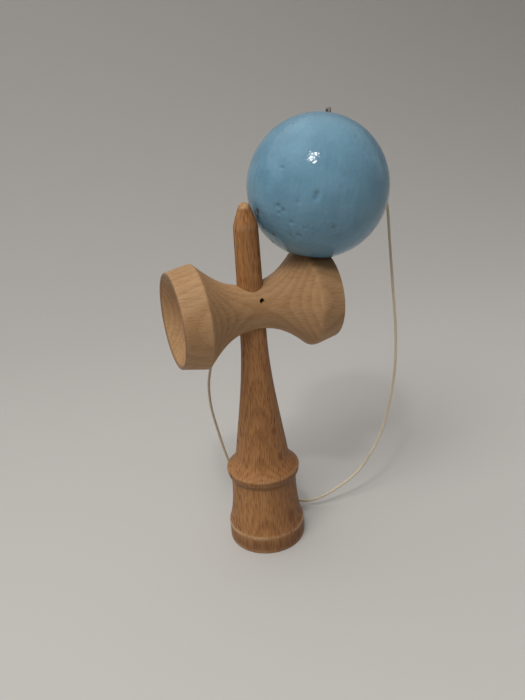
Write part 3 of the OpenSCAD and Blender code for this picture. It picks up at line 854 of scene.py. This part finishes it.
# What a bruise and a break take off: a share of the radius, and mm of the height
BRUISE_IN, BREAK_IN = 0.06, 0.22
BRUISE_DOWN, BREAK_DOWN = 0.45, 0.5


def chip_tip(piece):
    """The end of the spike is bruised and a part of its edge has broken away."""
    base = HANDLE_H - BRUISED
    for vertex in piece.data.vertices:
        x, y, z = vertex.co / MM
        if z > base:
            fade = min((z - base) / BRUISE_FADE, 1.0)
            rough = noise.noise(Vector((x * 0.8, y * 0.8, z * 0.35)))
            near = max(math.cos(math.atan2(y, x) + BROKEN_SIDE), 0.0) ** 4
            gone = near * min(max((z - HANDLE_H + BROKEN_H) / BROKEN_FADE, 0.0), 1.0)
            pull = 1 - fade * (BRUISE_IN * max(rough + 0.4, 0.0) + BREAK_IN * gone * (1 + rough))
            drop = fade * BRUISE_DOWN * max(rough, 0.0) + BREAK_DOWN * gone
            vertex.co = Vector((x * pull, y * pull, z - drop)) * MM


knock_ball(ball)
chip_tip(handle)


# String

# The string leaves the ball this far under its top, in mm, and curls over with this radius to this side
STRING_SUNK, STRING_CURL, STRING_SIDE = 1.8, 3.0, math.radians(70)
# Its free loop in mm: over the back of the ball, down its right side and round behind the foot
STRING_LOOP = [
    (43, 8, 198.6), (46.8, 15, 194.8), (52, 18, 190.8), (57, 17, 187), (61.5, 14, 181.5),
    (65, 10, 174), (67.7, 5.5, 165.5), (69, 2, 157), (70.2, 1, 138), (71.8, 0.5, 116.5),
    (73, 0, 100), (73.5, 0, 88), (73.2, 0, 74), (70.9, 0.5, 56.5), (66.7, 1, 40),
    (60.8, 2, 27.3), (52.7, 3, 16.7), (41.2, 4.5, 9.3), (30, 6.5, 4.8), (21.8, 11.5, 3.6),
    (13, 19, 6), (3, 22.5, 13), (-6, 22, 23), (-11.2, 21, 32.5), (-15, 21, 50),
    (-17.5, 21, 66), (-17.2, 21, 79), (-14, 21, 91), (-8.5, 21, 105), (-2.5, 18.5, 117.5),
]


def string_route():
    """The string's route from the top of the ball to its knot in the cross piece, in mm."""
    start = on_ball(BALL_R - STRING_SUNK)
    level, out = math.cos(STRING_SIDE), math.sin(STRING_SIDE)
    aside = Vector((BALL_UP.z * level, out, -BALL_UP.x * level))
    curl = []
    for angle in (0, math.pi / 6, math.pi / 3, QUARTER):
        curl.append(start + STRING_CURL * (math.sin(angle) * BALL_UP + (1 - math.cos(angle)) * aside))
    x, _, z = CORD_HOLE
    into_hole = [(x, 13.5, z - 1), (x, 9, z), (x, KNOT_Y + KNOT_H, z)]
    return curl + [Vector(point) for point in STRING_LOOP + into_hole]


def smooth_line(points, steps=8):
    """A smooth line through the points."""
    line = []
    for i in range(len(points) - 1):
        a, b = points[max(i - 1, 0)], points[i]
        c, d = points[i + 1], points[min(i + 2, len(points) - 1)]
        way, pull, swing = c - a, 2 * a - 5 * b + 4 * c - d, 3 * b - a - 3 * c + d
        for j in range(steps):
            t = j / steps
            line.append(0.5 * (2 * b + way * t + pull * t * t + swing * t ** 3))
    return line + [points[-1]]


# The string's lay, the steps along it, and the strand and run of its drawn-up knots, in mm
STRING_LAY, STRING_STEP = 4.2, 0.6
KNOT_STRAND, KNOT_STEP, KNOT_POINTS = 0.75, 0.2, 72
KNOT_RUN_R, KNOT_RUN_H = KNOT_R - 0.4, 0.14
# The stretch inside the ball ends this far under its top, in mm, and has this many parts
INNER_SUNK, INNER_PARTS = 2.1, 20


def knot_line(middle, axis, radius, height):
    """The closed run of a pulled-up overhand knot about an axis."""
    along = Vector(axis).normalized()
    right = along.orthogonal().normalized()
    up = along.cross(right)
    line = []
    for i in range(KNOT_POINTS):
        t = math.tau * i / KNOT_POINTS
        x, y = math.sin(t) + 2 * math.sin(2 * t), math.cos(t) - 2 * math.cos(2 * t)
        flat = right * (x / 3 * radius) + up * (y / 3 * radius)
        line.append(Vector(middle) + flat - along * (math.sin(3 * t) * height))
    return line


def inner_line():
    """The straight run of the string from the knot under the bead to the top of the ball."""
    low, high = BEAD_KNOT_Z + KNOT_H, BALL_R - INNER_SUNK
    return [on_ball(low + (high - low) * i / INNER_PARTS) for i in range(INNER_PARTS + 1)]


def twisted(name, line, thickness=2 * CORD_R, closed=False, step=STRING_STEP):
    """A piece of string of a thickness along a line, in mm."""
    maker = line_object(name, line, closed)
    add_tree(maker, TWIST, {
        "Thickness": thickness * MM, "Lay": STRING_LAY * MM, "Step": step * MM, "Finish": COTTON})
    return plain_mesh(maker, name)


def knot(name, middle, axis):
    """A drawn-up knot about an axis."""
    line = knot_line(middle, axis, KNOT_RUN_R, KNOT_RUN_H)
    return twisted(name, line, KNOT_STRAND, True, KNOT_STEP)


STRING_LINE = smooth_line(string_route())
string = twisted("string_loop", STRING_LINE)
inner = twisted("string_in_ball", inner_line())
bead_knot = knot("knot_under_bead", on_ball(BEAD_KNOT_Z + KNOT_H / 2), BALL_UP)
cross_knot = knot("knot_in_cross_piece", CORD_HOLE + Vector((0, KNOT_Y + KNOT_H / 2, 0)), (0, 1, 0))


# Who moves with what

for piece, body, nodes, slot in (
    (handle, "handle", ["handle"], "handle_wood"),
    (cross_piece, "cross_piece", ["cross_piece"], "cross_wood"),
    (cross_knot, "cross_piece", ["cross_piece_knot"], "string"),
    (ball, "ball", ["ball"], "ball_lacquer"),
    (bead, "string_end", ["stop_bead"], "bead_wood"),
    (bead_knot, "string_end", ["bead_knot"], "string"),
    (inner, "string_end", ["ball_string"], "string"),
    (string, None, ["string"], "string"),
):
    if body:
        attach(piece, body)
    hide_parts(*nodes)

string_run = [p * MM for p in STRING_LINE]
string_length = sum((b - a).length for a, b in zip(string_run, string_run[1:]))
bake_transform(string)


# Floor and light, in metres

FLOOR_HALF, SWEEP_START, SWEEP_R, BACK_H, SWEEP_PARTS = 3.0, 0.30, 0.5, 0.8, 24
FLOOR_GREY = tone(190, 188, 185)
LAMP_AIM, LAMP_WHITE = (0.02, 0.0, 0.12), (1.0, 0.98, 0.95)
# Strength of the soft light from all round, away from its bright side, on it, and where it is seen
SKY_LOW, SKY_HIGH, SKY_SEEN = 0.09, 1.16, 0.4
SKY_SIDE, SKY_WHITE = (-0.3, 0.32, 0.90), (1.0, 0.985, 0.96, 1.0)


def floor_paint():
    paint = Paint("floor_paint")
    return paint.finish({"Base Color": FLOOR_GREY, "Roughness": 0.9, "Specular IOR Level": 0.2})


def backdrop():
    """A pale floor that sweeps up behind the toy."""
    rows = [(-FLOOR_HALF, 0.0)]
    for i in range(SWEEP_PARTS + 1):
        angle = QUARTER * i / SWEEP_PARTS
        rows.append((SWEEP_START + SWEEP_R * math.sin(angle), SWEEP_R - SWEEP_R * math.cos(angle)))
    rows.append((SWEEP_START + SWEEP_R, BACK_H))
    points = [(x, y, z) for y, z in rows for x in (-FLOOR_HALF, FLOOR_HALF)]
    faces = [(2 * i, 2 * i + 1, 2 * i + 3, 2 * i + 2) for i in range(len(rows) - 1)]
    mesh = bpy.data.meshes.new("floor")
    mesh.from_pydata(points, [], faces)
    mesh.materials.append(floor_paint())
    mesh.shade_smooth()
    floor = bpy.data.objects.new("floor", mesh)
    scene.collection.objects.link(floor)


def lamp(name, at, size, power, mirrored=True):
    """A round lamp; where it isn't mirrored, it lights the toy but doesn't show in its gloss."""
    light = bpy.data.lights.new(name, "AREA")
    light.shape, light.size, light.energy, light.color = "DISK", size, power, LAMP_WHITE
    stand = bpy.data.objects.new(name, light)
    stand.visible_glossy = mirrored
    stand.location = Vector(at)
    stand.rotation_euler = (Vector(LAMP_AIM) - Vector(at)).to_track_quat("-Z", "Y").to_euler()
    scene.collection.objects.link(stand)


def soft_sky():
    """Even light from all round that grows towards one side, like a white ceiling."""
    world = bpy.data.worlds.new("ceiling")
    scene.world = world
    world.use_nodes = True
    bench = Bench(world.node_tree)
    path = bench.node("ShaderNodeLightPath")
    mirrored = path.pick("Is Glossy Ray").most(path.pick("Is Transmission Ray"))
    seen = path.pick("Is Camera Ray").most(mirrored)
    way = bench.node("ShaderNodeTexCoord").pick("Generated")
    rise = bench.node("ShaderNodeVectorMath", {"operation": "DOT_PRODUCT"},
                      {0: way, 1: Vector(SKY_SIDE).normalized()}, out="Value").most(0.0)
    sky = SKY_LOW + (SKY_HIGH - SKY_LOW) * rise ** 2.0
    glow = bench.node("ShaderNodeBackground", None, {
        "Color": SKY_WHITE, "Strength": sky + seen * (SKY_SEEN - sky).most(0.0)})
    bench.node("ShaderNodeOutputWorld", None, {"Surface": glow})


backdrop()
lamp("key", at=(-0.36, -0.32, 0.92), size=0.52, power=4.5, mirrored=False)
lamp("glint", at=(-0.27, -0.44, 0.90), size=0.07, power=1.2)
soft_sky()
